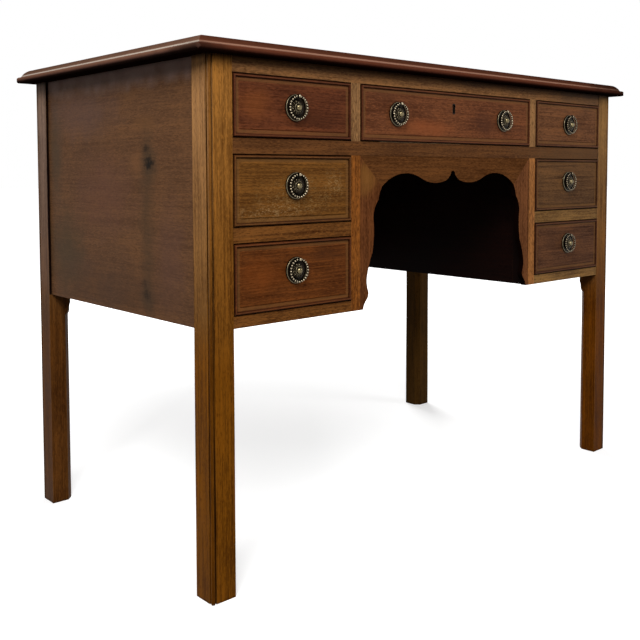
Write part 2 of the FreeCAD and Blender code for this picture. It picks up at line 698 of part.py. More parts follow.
def make_handle(name, x, z):
    """Backplate with its eye, screw and nut, and the ring that hangs in the eye."""
    eye_y = FIELD - s.ring_stand
    eye_z = z + s.ring_radius
    rim_in = s.plate_radius - s.rim_width
    collar_top = s.dome_rise + s.collar_step
    boss_foot = collar_top + s.boss_step
    section = outline(name + "_section", FRONT, (ZERO, ZERO, ZERO), [
        (ZERO, ZERO),
        (s.plate_radius, ZERO),
        (s.plate_radius, s.plate_thick),
        (rim_in, s.plate_thick, -s.rim_bulge),
        (s.cup_foot, s.plate_thick),
        (s.cup_radius, s.cup_rise),
        (s.collar_radius, s.dome_rise, -s.dome_bulge),
        (s.collar_radius, collar_top),
        (s.boss_radius, collar_top),
        (s.boss_radius, boss_foot),
        (s.boss_flat, s.boss_rise, -s.boss_bulge),
        (ZERO, s.boss_rise),
    ])
    disc = doc.addObject("Part::Revolution", name + "_disc")
    disc.Source = section
    disc.Axis = FreeCAD.Vector(0, 0, 1)
    disc.Solid = True
    place(disc, FRONT, (x, FIELD, z))

    screw_length = BOX_START + s.screw_tail - FIELD
    screw_end = (x, BOX_START + s.screw_tail, z)
    screw = rod(name + "_screw", s.screw_radius, screw_length, FRONT, screw_end)
    hole = rod(name + "_hole", s.screw_radius + s.screw_clear, screw_length, FRONT, screw_end)
    nut = rod(name + "_nut_blank", s.nut_radius, s.nut_thick, FRONT, (x, BOX_START + s.nut_thick, z))
    stalk = rod(name + "_stalk", s.stalk_radius, s.ring_stand, FRONT, (x, FIELD, eye_z))
    eye_start = (x - s.eye_length / 2, eye_y, eye_z)
    eye = rod(name + "_eye", s.eye_radius, s.eye_length, ALONG_X, eye_start)
    bore = rod(name + "_bore", s.ring_wire + s.eye_clear, s.eye_length, ALONG_X, eye_start)
    plate = cut(name + "_plate", joined(name + "_body", [disc, screw, stalk, eye]), [bore])

    ring = doc.addObject("Part::Torus", "ring_pull_" + name)
    bind(ring, "Radius1", s.ring_radius)
    bind(ring, "Radius2", s.ring_wire)
    place(ring, FRONT, (x, eye_y, z))
    node(ring)
    return plate, cut(name + "_nut", nut, [hole]), hole


def drawer_side(name, x, floor, top):
    """A drawer side with two lapped dovetails at its front end."""
    root = BOX_START
    tip = BOX_START - s.tail_lap
    end = BACK_IN - s.back_room
    points = [(end, floor), (root, floor)]
    for quarter in (1, 3):
        middle = floor + (top - floor) * (quarter / 4)
        low = middle - s.tail_root / 2
        high = middle + s.tail_root / 2
        points += [(root, low), (tip, low - s.tail_flare), (tip, high + s.tail_flare), (root, high)]
    points += [(root, top), (end, top)]
    return board(name, SIDE, (x, ZERO, ZERO), points, s.side_thick)


def cock_bead(name, x, z):
    """The bead that runs round a drawer front, mitred at its corners."""
    middle = (x[0] + x[1]) / 2
    path = outline(name + "_path", FRONT, (ZERO, RAIL_FACE, ZERO), [
        (middle, z[0]),
        (x[1], z[0]),
        (x[1], z[1]),
        (x[0], z[1]),
        (x[0], z[0]),
    ])
    crest = RAIL_FACE - s.cock_straight
    section = outline(name + "_section", SIDE, (middle, ZERO, ZERO), [
        (RAIL_FACE, z[0]),
        (RAIL_FACE, z[0] + s.cock_width),
        (crest, z[0] + s.cock_width),
        (crest, z[0], -s.cock_bulge),
    ])
    bead = doc.addObject("Part::Sweep", name)
    bead.Sections = [section]
    bead.Spine = (path, [f"Edge{number}" for number in range(1, 6)])
    bead.Transition = "Right corner"
    bead.Solid = True
    return bead


def raised_field(name, x, z):
    """The field of a drawer front, bevelled on all four edges."""
    inset = s.cock_width + s.band_width
    foot = RAIL_FACE
    crest = FIELD

    def section(low, high, upright):
        ring = [
            (low + inset, foot),
            (low + inset + s.field_slope, crest),
            (high - inset - s.field_slope, crest),
            (high - inset, foot),
        ]
        return [(v, u) for u, v in ring] if upright else ring

    level = board(name + "_level", FLAT, (ZERO, ZERO, z[0] + inset), section(*x, False), z[1] - z[0] - inset * 2)
    tall = board(name + "_tall", SIDE, (x[0] + inset, ZERO, ZERO), section(*z, True), x[1] - x[0] - inset * 2)
    field = doc.addObject("Part::MultiCommon", name)
    field.Shapes = [level, tall]
    return field


def make_drawer(name, x, z, handles, lift, fittings):
    """A drawer for the opening x by z: front, box and handles; fittings are let into the front."""
    front_x = (x[0] + s.drawer_gap, x[1] - s.drawer_gap)
    front_z = (z[0] + s.drawer_gap, z[1] - s.drawer_gap)
    blank = joined(f"front_{name}_blank", [
        box(f"front_{name}_board", front_x, (RAIL_FACE, BOX_START), front_z),
        cock_bead(f"front_{name}_bead", front_x, front_z),
        raised_field(f"front_{name}_field", front_x, front_z),
    ])

    floor = z[0]
    top = z[1] - s.side_headroom
    left, right = front_x
    left_side = drawer_side(f"side_{name}_left", left, floor, top)
    right_side = drawer_side(f"side_{name}_right", right - s.side_thick, floor, top)
    inner = (left + s.side_thick - s.groove_deep, right - s.side_thick + s.groove_deep)
    end = BACK_IN - s.back_room
    bottom_low = floor + s.bottom_rise
    bottom_high = bottom_low + s.bottom_thick
    bottom = box(f"bottom_{name}", inner, (BOX_START - s.groove_deep, end), (bottom_low, bottom_high))
    back_far = end - s.back_inset
    back_y = (back_far - s.drawer_back_thick, back_far)
    back = box(f"back_{name}", inner, back_y, (bottom_high, top - s.back_headroom))
    node(group(f"drawer_box_{name}", [
        cut(f"side_{name}_left_grooved", left_side, [bottom, back]),
        cut(f"side_{name}_right_grooved", right_side, [bottom, back]),
        back,
        bottom,
    ]))

    plates = []
    holes = []
    for handle, handle_x in handles:
        plate, nut, hole = make_handle(handle, handle_x, (z[0] + z[1]) / 2 + lift)
        plates += [plate, nut]
        holes.append(hole)
    node(group(f"handle_plate_{name}", plates))
    node(cut(f"drawer_front_{name}", blank, [left_side, right_side, bottom] + holes + fittings))

    stops = []
    for hand, low in (("left", x[0] + s.stop_inset), ("right", x[1] - s.stop_inset - s.stop_width)):
        across = (low, low + s.stop_width)
        stops.append(box(f"stop_{name}_{hand}", across, (BOX_START, RAIL_BACK), (floor, floor + s.stop_tall)))
    return stops


def make_drawers():
    """Three drawers on each side and one wide drawer between them."""
    rows = (
        ("top", (TOP_FLOOR, TOP_CEILING), s.top_handle_lift),
        ("middle", (MID_FLOOR, MID_CEILING), s.handle_lift),
        ("bottom", (LOW_FLOOR, LOW_CEILING), s.handle_lift),
    )
    stops = []
    for side, hand in ((-1, "left"), (1, "right")):
        opening = mirrored(side, STILE_OUT, LEG_IN)
        middle = (opening[0] + opening[1]) / 2
        for row, height, lift in rows:
            name = f"{row}_{hand}"
            stops += make_drawer(name, opening, height, [(name, middle)], lift, [])
    half = s.handle_spread / 2
    pair = [("centre_left", -half), ("centre_right", half)]
    stops += make_drawer("centre", (-KNEE, KNEE), rows[0][1], pair, s.top_handle_lift, make_lock())
    node(group("drawer_stops", stops))


def check():
    """Stop before anything is written if a feature failed or a shape is bad."""
    for thing in doc.Objects:
        if "Invalid" in thing.State or "Error" in thing.State:
            raise RuntimeError(f"{thing.Name} failed: {thing.State}")
    for piece in nodes:
        if piece.Shape.isNull() or not piece.Shape.isValid() or not piece.Shape.Solids:
            raise RuntimeError(f"{piece.Label} has no sound solid")


make_top()
make_frame()
make_trim()
make_runners()
make_blocks()
make_drawers()
doc.recompute()
check()
os.makedirs("parts", exist_ok=True)
for piece in nodes:
    piece.Shape.exportStep(os.path.join("parts", piece.Label + ".step"))
print(len(nodes), "pieces written")
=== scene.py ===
"""Looks of the kneehole writing table: waxed mahogany, aged brass ring pulls and soft studio light."""

import math

import bmesh
import bpy
from mathutils import Matrix, Vector


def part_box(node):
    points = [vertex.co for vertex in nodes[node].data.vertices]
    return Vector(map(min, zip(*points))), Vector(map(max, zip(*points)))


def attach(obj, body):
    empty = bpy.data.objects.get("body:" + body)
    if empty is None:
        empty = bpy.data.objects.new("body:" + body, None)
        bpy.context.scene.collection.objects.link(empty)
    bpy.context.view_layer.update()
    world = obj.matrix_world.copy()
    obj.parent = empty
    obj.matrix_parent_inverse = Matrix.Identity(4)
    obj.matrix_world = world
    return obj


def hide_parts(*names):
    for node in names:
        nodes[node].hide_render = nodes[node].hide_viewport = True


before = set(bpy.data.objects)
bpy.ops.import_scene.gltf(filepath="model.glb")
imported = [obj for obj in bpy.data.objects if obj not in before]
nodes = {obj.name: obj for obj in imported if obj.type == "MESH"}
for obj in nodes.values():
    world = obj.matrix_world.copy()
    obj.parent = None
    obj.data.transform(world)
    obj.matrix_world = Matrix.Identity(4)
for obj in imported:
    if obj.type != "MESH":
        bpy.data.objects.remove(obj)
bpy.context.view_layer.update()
MM = 0.001
FAR = 1.0  # metres; a mark that reaches this far along an axis shows no end there
HANDS = ("left", "right")

# Helpers


def linear(code):
    """An sRGB hex colour as linear RGBA."""
    channels = [int(code[i:i + 2], 16) / 255 for i in (1, 3, 5)]
    return [c / 12.92 if c <= 0.04045 else ((c + 0.055) / 1.055) ** 2.4 for c in channels] + [1.0]


def add(tree, kind, inputs=None, **settings):
    """Add a node; an input is either a value or the socket that feeds it."""
    node = tree.nodes.new(kind)
    for name, value in settings.items():
        setattr(node, name, value)
    for socket, value in (inputs or {}).items():
        if isinstance(value, bpy.types.NodeSocket):
            tree.links.new(value, node.inputs[socket])
        else:
            node.inputs[socket].default_value = value
    return node


def new_material(name):
    """An empty material with its node tree and its shader."""
    material = bpy.data.materials.new(name)
    material.use_nodes = True
    tree = material.node_tree
    return material, tree, tree.nodes["Principled BSDF"]


def give(material, *names):
    """Give CAD nodes a material."""
    for name in names:
        data = nodes[name].data
        data.materials.clear()
        data.materials.append(material)


# Mahogany: sawn boards, stained and waxed long ago. The eye sees golden and dark red streaks along the
# grain, short dark pores, uneven fading, painted shade in the corners and paler rubbed edges under a faint
# sheen.

AXES = "XYZ"
# Width and length of each pattern. Real pores are a third as wide; these are as coarse as the picture needs.
FIGURE_MM = (22, 380)
STREAK_MM = (3.0, 120)
PORE_MM = (1.5, 7)
BLOTCH_MM = (60, 110)
STREAK_SHARE = 0.65
BLOTCH_SHARE = 0.35
CUT_STEPS = (1.0, 1.7, 2.3)  # how far a board's cut moves the pattern along each axis
# Levels of the noise, which swings about its middle
NOISE_MIDDLE = 0.5
DARKEST, LIGHTEST = 0.37, 0.63
PORE_FULL, PORE_NONE = 0.34, 0.46
FLECK_NONE, FLECK_FULL = 0.54, 0.66
FLECK_COVER = 0.7
# How a change scales red, green and blue light
DARK_STREAK = (0.50, 0.43, 0.36)
LIGHT_STREAK = (1.60, 1.56, 1.40)
RUBBED = (2.0, 2.0, 1.8)
# Wax: the blotches where it is glossier and duller, and the grain and rounded edges that show through it
WAX_IOR = 1.48
GLOSSY_LEVEL, DULL_LEVEL = 0.3, 0.7
GLOSSIER, DULLER = 0.05, 0.08
GRAIN_DEPTH = 0.3 * MM
GRAIN_STRENGTH = 0.2
EDGE_ROUND = 0.7 * MM
# Rubbed edges: their width, the cosine of the turn where rubbing starts and is full, and the levels of the
# streaks between which it comes and goes
EDGE_RUB = 1.6 * MM
RUB_STARTS, RUB_FULL = 0.995, 0.86
RUB_SPARED, RUB_WORN = 0.4, 0.6
# Painted shade: its colour, also used under the top; in corners its reach, how open a place is where it is
# full and where it ends, and the levels of the streaks where it lies thin and thick
SHADE_COLOUR = "#120603"
SHADE_REACH = 6 * MM
SHADE_FULL, SHADE_ENDS = 0.3, 0.85
SHADE_COVER = 0.95
SHADE_THIN, SHADE_THICK = 0.65, 0.4
SHADE_LEAST = 0.4


def tinted(code, shift, contrast=1.0):
    """A colour with its red, green and blue light scaled by a shift."""
    scales = [1 + (change - 1) * contrast for change in shift]
    return [channel * scale for channel, scale in zip(linear(code), scales)] + [1.0]


def grain_noise(tree, coords, grain, size_mm, start, detail):
    """Noise drawn out along the grain; size_mm is its width and length."""
    across, along = (1 / (mm * MM) for mm in size_mm)
    scale = [along if axis == grain else across for axis in AXES]
    place = add(tree, "ShaderNodeMapping", {"Vector": coords, "Location": start, "Scale": scale})
    noise = add(tree, "ShaderNodeTexNoise", {
        "Vector": place.outputs[0], "Scale": 1.0, "Detail": detail, "Roughness": 0.6, "Distortion": 0.35})
    return noise.outputs["Fac"]


def mahogany(name, grain, tone, cut, contrast=1.0, fleck=1.0, sheen=0.42, gloss=0.02, rub=0.35, marks=()):
    """A waxed board with its grain along one axis, cut from its own place in the pattern.

    Each mark is a function with its places; it gives layers of cover, tint and blend to lay over the grain.
    """
    material, tree, shader = new_material(name)
    coords = add(tree, "ShaderNodeTexCoord").outputs["Object"]
    start = [cut * step for step in CUT_STEPS]
    figure = grain_noise(tree, coords, grain, FIGURE_MM, start, detail=3)
    streak = grain_noise(tree, coords, grain, STREAK_MM, start, detail=2)
    pore = grain_noise(tree, coords, grain, PORE_MM, start, detail=2)
    blotch = grain_noise(tree, coords, grain, BLOTCH_MM, start, detail=4)

    lines = add(tree, "ShaderNodeMix", {0: STREAK_SHARE, 2: figure, 3: streak}, data_type="FLOAT")
    shade = add(tree, "ShaderNodeMix", {0: BLOTCH_SHARE, 2: lines.outputs[0], 3: blotch}, data_type="FLOAT")
    ramp = add(tree, "ShaderNodeValToRGB", {"Fac": shade.outputs[0]})
    stops = ramp.color_ramp.elements
    stops[0].position = DARKEST
    stops[0].color = tinted(tone, DARK_STREAK, contrast)
    stops[1].position = LIGHTEST
    stops[1].color = tinted(tone, LIGHT_STREAK, contrast)
    stops.new(NOISE_MIDDLE).color = linear(tone)

    cover = FLECK_COVER * fleck
    pores = add(tree, "ShaderNodeMapRange", {
        "Value": pore, "From Min": PORE_FULL, "From Max": PORE_NONE, "To Min": cover, "To Max": 0.0})
    flecks = add(tree, "ShaderNodeMapRange", {
        "Value": pore, "From Min": FLECK_NONE, "From Max": FLECK_FULL, "To Max": cover})
    layers = [
        (pores.outputs[0], tinted(tone, DARK_STREAK), "MIX"),
        (flecks.outputs[0], tinted(tone, LIGHT_STREAK), "MIX"),
    ]
    for mark, *where in marks:
        layers += mark(tree, coords, *where)
    layers.append((edge_rub(tree, streak, rub), tinted(tone, RUBBED), "MIX"))
    # Painted shade in corners and hollows
    layers.append((corner_shade(tree, streak), linear(SHADE_COLOUR), "MIX"))
    colour = ramp.outputs[0]
    for amount, tint, blend in layers:
        laid = add(tree, "ShaderNodeMix", {0: amount, 6: colour, 7: tint}, data_type="RGBA", blend_type=blend)
        colour = laid.outputs[2]
    tree.links.new(colour, shader.inputs["Base Color"])
    wax(tree, shader, streak, pores.outputs[0], blotch, sheen, gloss)
    return material


def wax(tree, shader, streak, pores, blotch, sheen, gloss):
    """Old wax: duller in blotches, sunk into the pores and rounded over the edges."""
    rough = add(tree, "ShaderNodeMapRange", {
        "Value": blotch, "From Min": GLOSSY_LEVEL, "From Max": DULL_LEVEL,
        "To Min": sheen - GLOSSIER, "To Max": sheen + DULLER})
    tree.links.new(rough.outputs[0], shader.inputs["Roughness"])
    relief = add(tree, "ShaderNodeMath", {0: streak, 1: pores}, operation="SUBTRACT")
    edge = add(tree, "ShaderNodeBevel", {"Radius": EDGE_ROUND}, samples=4)
    bump = add(tree, "ShaderNodeBump", {
        "Height": relief.outputs[0], "Strength": GRAIN_STRENGTH, "Distance": GRAIN_DEPTH,
        "Normal": edge.outputs[0]})
    tree.links.new(bump.outputs[0], shader.inputs["Normal"])
    shader.inputs["IOR"].default_value = WAX_IOR
    shader.inputs["Specular IOR Level"].default_value = gloss


def edge_rub(tree, streak, amount):
    """How far the polish is rubbed off along an arris."""
    edge = add(tree, "ShaderNodeBevel", {"Radius": EDGE_RUB}, samples=4)
    flat = add(tree, "ShaderNodeNewGeometry").outputs["Normal"]
    turn = add(tree, "ShaderNodeVectorMath", {0: edge.outputs[0], 1: flat}, operation="DOT_PRODUCT")
    arris = add(tree, "ShaderNodeMapRange", {
        "Value": turn.outputs["Value"], "From Min": RUB_STARTS, "From Max": RUB_FULL})
    patchy = add(tree, "ShaderNodeMapRange", {
        "Value": streak, "From Min": RUB_SPARED, "From Max": RUB_WORN, "To Max": amount})
    worn = add(tree, "ShaderNodeMath", {0: arris.outputs[0], 1: patchy.outputs[0]}, operation="MULTIPLY")
    return worn.outputs[0]


def corner_shade(tree, streak):
    """How much painted shade lies in a corner, deeper where the corner is more enclosed, thicker in some
    places than in others.
    """
    hollow = add(tree, "ShaderNodeAmbientOcclusion", {"Distance": SHADE_REACH}, samples=6)
    depth = add(tree, "ShaderNodeMapRange", {
        "Value": hollow.outputs["AO"], "From Min": SHADE_FULL, "From Max": SHADE_ENDS,
        "To Min": SHADE_COVER, "To Max": 0.0})
    patchy = add(tree, "ShaderNodeMapRange", {
        "Value": streak, "From Min": SHADE_THIN, "From Max": SHADE_THICK, "To Min": SHADE_LEAST})
    dirt = add(tree, "ShaderNodeMath", {0: depth.outputs[0], 1: patchy.outputs[0]}, operation="MULTIPLY")
    return dirt.outputs[0]


# Marks on the boards. Each gives its layers: cover, tint and blend.

UNDER_TOP, TOP_FACE = (corner.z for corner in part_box("table_top"))
CASE_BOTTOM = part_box("side_panel_left")[0].z
# Painted shade: the near black of faces and gaps that lie in deep shade
DEEP_SHADE = "#0c0403"
# A spot's edge wavers: the size of the waves in millimetres, and how strong they are
CLOUD_WAVER = (30, 0.8)
SPECK_WAVER = (25, 1.0)
KNOT_WAVER = (7, 1.5)
SPOT_CORE = 0.1  # share of a spot's reach where it is full
# Specks: width and length of a chip, and the levels of the noise where chips start and are bare
CHIP_MM = (1.5, 3.6)
CHIP_START = (0.7, 0.1, 0.4)
CHIP_NONE, CHIP_BARE = 0.5, 0.68
CHIP_COVER = 0.6
# Heights where the legs start to darken, and from where down they are darkest
DARKENING_TOP = 0.66
DARKENING_FULL = 0.31
# How strong the painted shadow under the top is at its fullest
OVERHANG_SHADOW_COVER = 0.8
BOX_SOFT = 0.2 * MM
# Side faces: how their painted sheen scales red, green and blue light, how far a face is turned where it
# starts and is full (as the X of its normal), and how softly it ends under the case
SIDE_SHEEN = (1.18, 1.42, 2.85)
SIDE_TURN = (0.6, 0.95)
TOP_SIDE_SHEEN = (1.75, 2.8, 3.5)
TOP_SIDE_TURN = (0.05, 0.25)
SHEEN_SOFT = 25 * MM
FRONT_FACING, EDGE_FACING = -0.9, -0.5  # Y of the normal
# Each band of tint: millimetres from the start, colour, cover. The moulding's bands start at the underside of
# the top and paint shade under its nose and a highlight along its step. The drawer bead's bands start at the
# edge of the drawer front and paint shade in the gap and in the bead's hollow, a highlight on its round and a
# faded band inside.
MOULDING_LIGHT_TINTS = (
    (0.0, "#0b0503", 0.9),
    (2.8, "#190b07", 0.9),
    (4.6, "#3f2016", 0.75),
    (7.0, "#4f2b1c", 0.75),
    (9.6, "#562d1e", 0.8),
    (10.8, "#9a7460", 0.85),
    (12.6, "#916b57", 0.85),
    (13.8, "#4f2c1e", 0.8),
    (17.0, "#432719", 0.7),
    (21.4, "#3a2116", 0.6),
    (21.5, "#3a2116", 0.0),
)
BEAD_LIGHT_AND_WEAR_TINTS = (
    (0.0, "#220b06", 0.8),
    (1.0, "#220b06", 0.7),
    (1.7, "#5f3a26", 0.4),
    (2.4, "#5f3a26", 0.4),
    (3.2, "#220b06", 0.75),
    (4.4, "#220b06", 0.7),
    (5.2, "#73502d", 0.4),
    (8.6, "#73502d", 0.4),
    (10.2, "#73502d", 0.0),
)
BEAD_REACH = 12 * MM


def patch(tree, coords, place, reach, waver):
    """A soft spot round a place: one in its middle, nothing past its reach along each axis."""
    waver_mm, strength = waver
    noise = add(tree, "ShaderNodeTexNoise", {
        "Vector": coords, "Scale": 1 / (waver_mm * MM), "Detail": 3.0})
    sway = add(tree, "ShaderNodeVectorMath", {
        0: noise.outputs["Color"], 1: [NOISE_MIDDLE] * 3}, operation="SUBTRACT")
    stretch = [1 / length for length in reach]
    centred = add(tree, "ShaderNodeVectorMath", {0: coords, 1: place}, operation="SUBTRACT")
    oval = add(tree, "ShaderNodeVectorMath", {0: centred.outputs[0], 1: stretch}, operation="MULTIPLY")
    ragged = add(tree, "ShaderNodeVectorMath", {
        0: sway.outputs[0], 1: [strength] * 3, 2: oval.outputs[0]}, operation="MULTIPLY_ADD")
    away = add(tree, "ShaderNodeVectorMath", {0: ragged.outputs[0]}, operation="LENGTH")
    spot = add(tree, "ShaderNodeMapRange", {
        "Value": away.outputs["Value"], "From Min": 1.0, "From Max": SPOT_CORE},
        interpolation_type="SMOOTHSTEP")
    return spot.outputs[0]


def cloudy_tint(tree, coords, tint, strength, place, reach, waver=CLOUD_WAVER):
    """A cloudy patch of tint; most are stains, and one under the top of the left side is painted light."""
    spot = patch(tree, coords, place, reach, waver)
    amount = add(tree, "ShaderNodeMath", {0: spot, 1: strength}, operation="MULTIPLY")
    return [(amount.outputs[0], linear(tint), "MIX")]


def specks(tree, coords, tint, place, reach):
    """Small worn spots and short scratches, thick in the middle of a patch."""
    spot = patch(tree, coords, place, reach, SPECK_WAVER)
    chips = grain_noise(tree, coords, "X", CHIP_MM, CHIP_START, detail=3)
    bare = add(tree, "ShaderNodeMapRange", {
        "Value": chips, "From Min": CHIP_NONE, "From Max": CHIP_BARE, "To Max": CHIP_COVER})
    amount = add(tree, "ShaderNodeMath", {0: spot, 1: bare.outputs[0]}, operation="MULTIPLY")
    return [(amount.outputs[0], linear(tint), "MIX")]


def knot(tree, coords, place, size, strength):
    """A ragged dark knot with a smaller one above it, in a greyish halo, all worked out from one size."""
    above = Vector(place) + Vector((0, 0.35, 0.85)) * size
    halo_reach = (FAR, size * 1.3, size * 1.8)
    small_reach = (FAR, size * 0.5, size * 0.45)
    large_reach = (FAR, size * 0.75, size * 0.6)
    halo = cloudy_tint(tree, coords, "#352e22", 0.55 * strength, place, halo_reach)
    small = cloudy_tint(tree, coords, "#17120d", 0.7 * strength, above, small_reach, KNOT_WAVER)
    large = cloudy_tint(tree, coords, "#120e0a", strength, place, large_reach, KNOT_WAVER)
    return halo + small + large


def darker_towards_floor(tree, coords, shift):
    """Legs darken and redden towards the floor, and their grain still shows."""
    height = add(tree, "ShaderNodeSeparateXYZ", {0: coords}).outputs["Z"]
    low = add(tree, "ShaderNodeMapRange", {
        "Value": height, "From Min": DARKENING_TOP, "From Max": DARKENING_FULL})
    return [(low.outputs[0], (*shift, 1.0), "MULTIPLY")]


def overhang_shadow(tree, coords, drop):
    """Painted shadow under the overhang of the top."""
    height = add(tree, "ShaderNodeSeparateXYZ", {0: coords}).outputs["Z"]
    near = add(tree, "ShaderNodeMapRange", {
        "Value": height, "From Min": UNDER_TOP - drop, "From Max": UNDER_TOP, "To Max": OVERHANG_SHADOW_COVER},
        interpolation_type="SMOOTHSTEP")
    return [(near.outputs[0], linear(SHADE_COLOUR), "MIX")]


def banded(tree, distance, start, end, tints):
    """Bands of tint by distance from the start."""
    level = add(tree, "ShaderNodeMapRange", {"Value": distance, "From Min": start, "From Max": end})
    ramp = add(tree, "ShaderNodeValToRGB", {"Fac": level.outputs[0]})
    stops = ramp.color_ramp.elements
    stops.remove(stops[1])
    for number, (past, tint, cover) in enumerate(tints):
        place = past * MM / abs(end - start)
        stop = stops.new(place) if number else stops[0]
        stop.position = place
        stop.color = linear(tint)[:3] + [cover]
    return [(ramp.outputs["Alpha"], ramp.outputs["Color"], "MIX")]


def moulding_light(tree, coords):
    """The moulded edge has a painted highlight along its step and painted shade under its nose, and is dark
    with old polish above.
    """
    height = add(tree, "ShaderNodeSeparateXYZ", {0: coords}).outputs["Z"]
    return banded(tree, height, UNDER_TOP, TOP_FACE, MOULDING_LIGHT_TINTS)


def past_box(tree, coords, low, high):
    """How far a point lies outside a box along each axis, negative inside."""
    middle = (Vector(low) + Vector(high)) / 2
    half = (Vector(high) - Vector(low)) / 2
    centred = add(tree, "ShaderNodeVectorMath", {0: coords, 1: middle}, operation="SUBTRACT")
    away = add(tree, "ShaderNodeVectorMath", {0: centred.outputs[0]}, operation="ABSOLUTE")
    past = add(tree, "ShaderNodeVectorMath", {0: away.outputs[0], 1: half}, operation="SUBTRACT")
    return add(tree, "ShaderNodeSeparateXYZ", {0: past.outputs[0]}).outputs


def tint_in_box(tree, coords, tint, cover, low, high):
    """An even tint on what lies inside a box: painted shade in some places, a stain in others."""
    x, y, z = past_box(tree, coords, low, high)
    level = add(tree, "ShaderNodeMath", {0: x, 1: y}, operation="MAXIMUM")
    most = add(tree, "ShaderNodeMath", {0: level.outputs[0], 1: z}, operation="MAXIMUM")
    inside = add(tree, "ShaderNodeMapRange", {
        "Value": most.outputs[0], "From Min": BOX_SOFT, "From Max": -BOX_SOFT, "To Max": cover})
    return [(inside.outputs[0], linear(tint), "MIX")]


def bead_light_and_wear(tree, coords, low, high):
    """Round a drawer front: painted shade in the gap and in the bead's hollow, a painted highlight on its
    round, and a faded band inside.
    """
    x, _, z = past_box(tree, coords, low, high)
    edge = add(tree, "ShaderNodeMath", {0: x, 1: z}, operation="MAXIMUM")
    return banded(tree, edge.outputs[0], 0.0, -BEAD_REACH, BEAD_LIGHT_AND_WEAR_TINTS)


def side_sheen(tree, coords, sheen_scale, turn):
    """Faces turned to the left or right, beside the case, are painted a lighter, greyer brown as sheen."""
    normal = add(tree, "ShaderNodeNewGeometry").outputs["Normal"]
    facing = add(tree, "ShaderNodeSeparateXYZ", {0: normal}).outputs["X"]
    turned = add(tree, "ShaderNodeMath", {0: facing}, operation="ABSOLUTE")
    side = add(tree, "ShaderNodeMapRange", {
        "Value": turned.outputs[0], "From Min": turn[0], "From Max": turn[1]})
    height = add(tree, "ShaderNodeSeparateXYZ", {0: coords}).outputs["Z"]
    beside_case = add(tree, "ShaderNodeMapRange", {
        "Value": height, "From Min": CASE_BOTTOM - SHEEN_SOFT, "From Max": CASE_BOTTOM + SHEEN_SOFT})
    amount = add(tree, "ShaderNodeMath", {
        0: side.outputs[0], 1: beside_case.outputs[0]}, operation="MULTIPLY")
    return [(amount.outputs[0], (*sheen_scale, 1.0), "MULTIPLY")]


def shaded_edges(tree, coords):
    """Faces that don't face the front, such as sawn edges, are painted black-brown as shade."""
    normal = add(tree, "ShaderNodeNewGeometry").outputs["Normal"]
    facing = add(tree, "ShaderNodeSeparateXYZ", {0: normal}).outputs["Y"]
    turned = add(tree, "ShaderNodeMapRange", {
        "Value": facing, "From Min": FRONT_FACING, "From Max": EDGE_FACING})
    return [(turned.outputs[0], linear(DEEP_SHADE), "MIX")]


# Boards of the table. A cloudy tint has its tint, strength, middle and reach; places and reaches are in
# metres.

CORNER_BEAD = 6.6 * MM  # across the beaded corner of a leg
LINE_DEPTH = 0.5 * MM  # how far the line of painted shade goes into the rear left leg
INNER_SKIN = 1 * MM  # how far the painted shade goes into the inner face of the back
# How far the painted shadow under the top reaches down
LEG_SHADOW_DROP = 9 * MM
RAIL_SHADOW_DROP = 16 * MM
# Boards of one kind are cut from places in the pattern that lie a step apart
LEG_CUT, LEG_CUT_STEP = 7.7, 1.0
FRONT_CUT, FRONT_CUT_STEP = 11.3, 1.9


def finish_top():
    """The top is a red board, painted lighter and greyer along its sides as sheen, with a painted highlight
    and shade on its moulding, and darker at its right end and left corner.
    """
    marks = [
        (moulding_light,),
        (side_sheen, TOP_SIDE_SHEEN, TOP_SIDE_TURN),
        (cloudy_tint, "#1a100c", 0.75, (-0.527, -0.262, UNDER_TOP + 6 * MM), (0.07, 0.09, 0.009)),
        (cloudy_tint, "#170c08", 0.7, (0.54, -0.28, UNDER_TOP), (0.22, FAR, FAR)),
    ]
    board = mahogany("mahogany_top_polish", "X", "#4a241a", cut=3.1, sheen=0.45, gloss=0.0, marks=marks)
    give(board, "table_top")


def corner_bead(leg):
    """The box round the beaded outer corner of a leg."""
    low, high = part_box(leg)
    x = high.x - CORNER_BEAD if leg.endswith("right") else low.x
    y = high.y - CORNER_BEAD if "rear" in leg else low.y
    return (x, y, low.z), (x + CORNER_BEAD, y + CORNER_BEAD, high.z)


def finish_legs():
    """Legs, each painted lighter on its side faces beside the case as sheen, and darker below in its own way.

    A leg has its tone, and how its darkening below scales red, green and blue light. Each has painted shadow
    under the top, and a line of painted shade lies between the rear left one and the side.
    """
    legs = {
        "leg_front_left": ("#845725", (0.52, 0.42, 0.14)),
        "leg_front_right": ("#805d35", (0.41, 0.23, 0.04)),
        "leg_rear_left": ("#6f5130", (0.47, 0.32, 0.18)),
        "leg_rear_right": ("#534123", (0.68, 0.50, 0.34)),
    }
    low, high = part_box("side_panel_left")
    # A line of painted shade between the rear left leg and the side
    line_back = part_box("leg_rear_left")[0].y + LINE_DEPTH
    shade_line = (tint_in_box, DEEP_SHADE, 1.0, (-FAR, -FAR, low.z), (high.x, line_back, high.z))
    for number, (leg, (tone, foot)) in enumerate(legs.items()):
        marks = [
            (side_sheen, SIDE_SHEEN, SIDE_TURN),
            (tint_in_box, "#3a1d0a", 0.5, *corner_bead(leg)),
            (darker_towards_floor, foot),
            (overhang_shadow, LEG_SHADOW_DROP),
        ]
        if leg == "leg_rear_left":
            marks.append(shade_line)
        cut = LEG_CUT + number * LEG_CUT_STEP
        give(mahogany("mahogany_" + leg, "Z", tone, cut, contrast=1.2, fleck=0.8, marks=marks), leg)


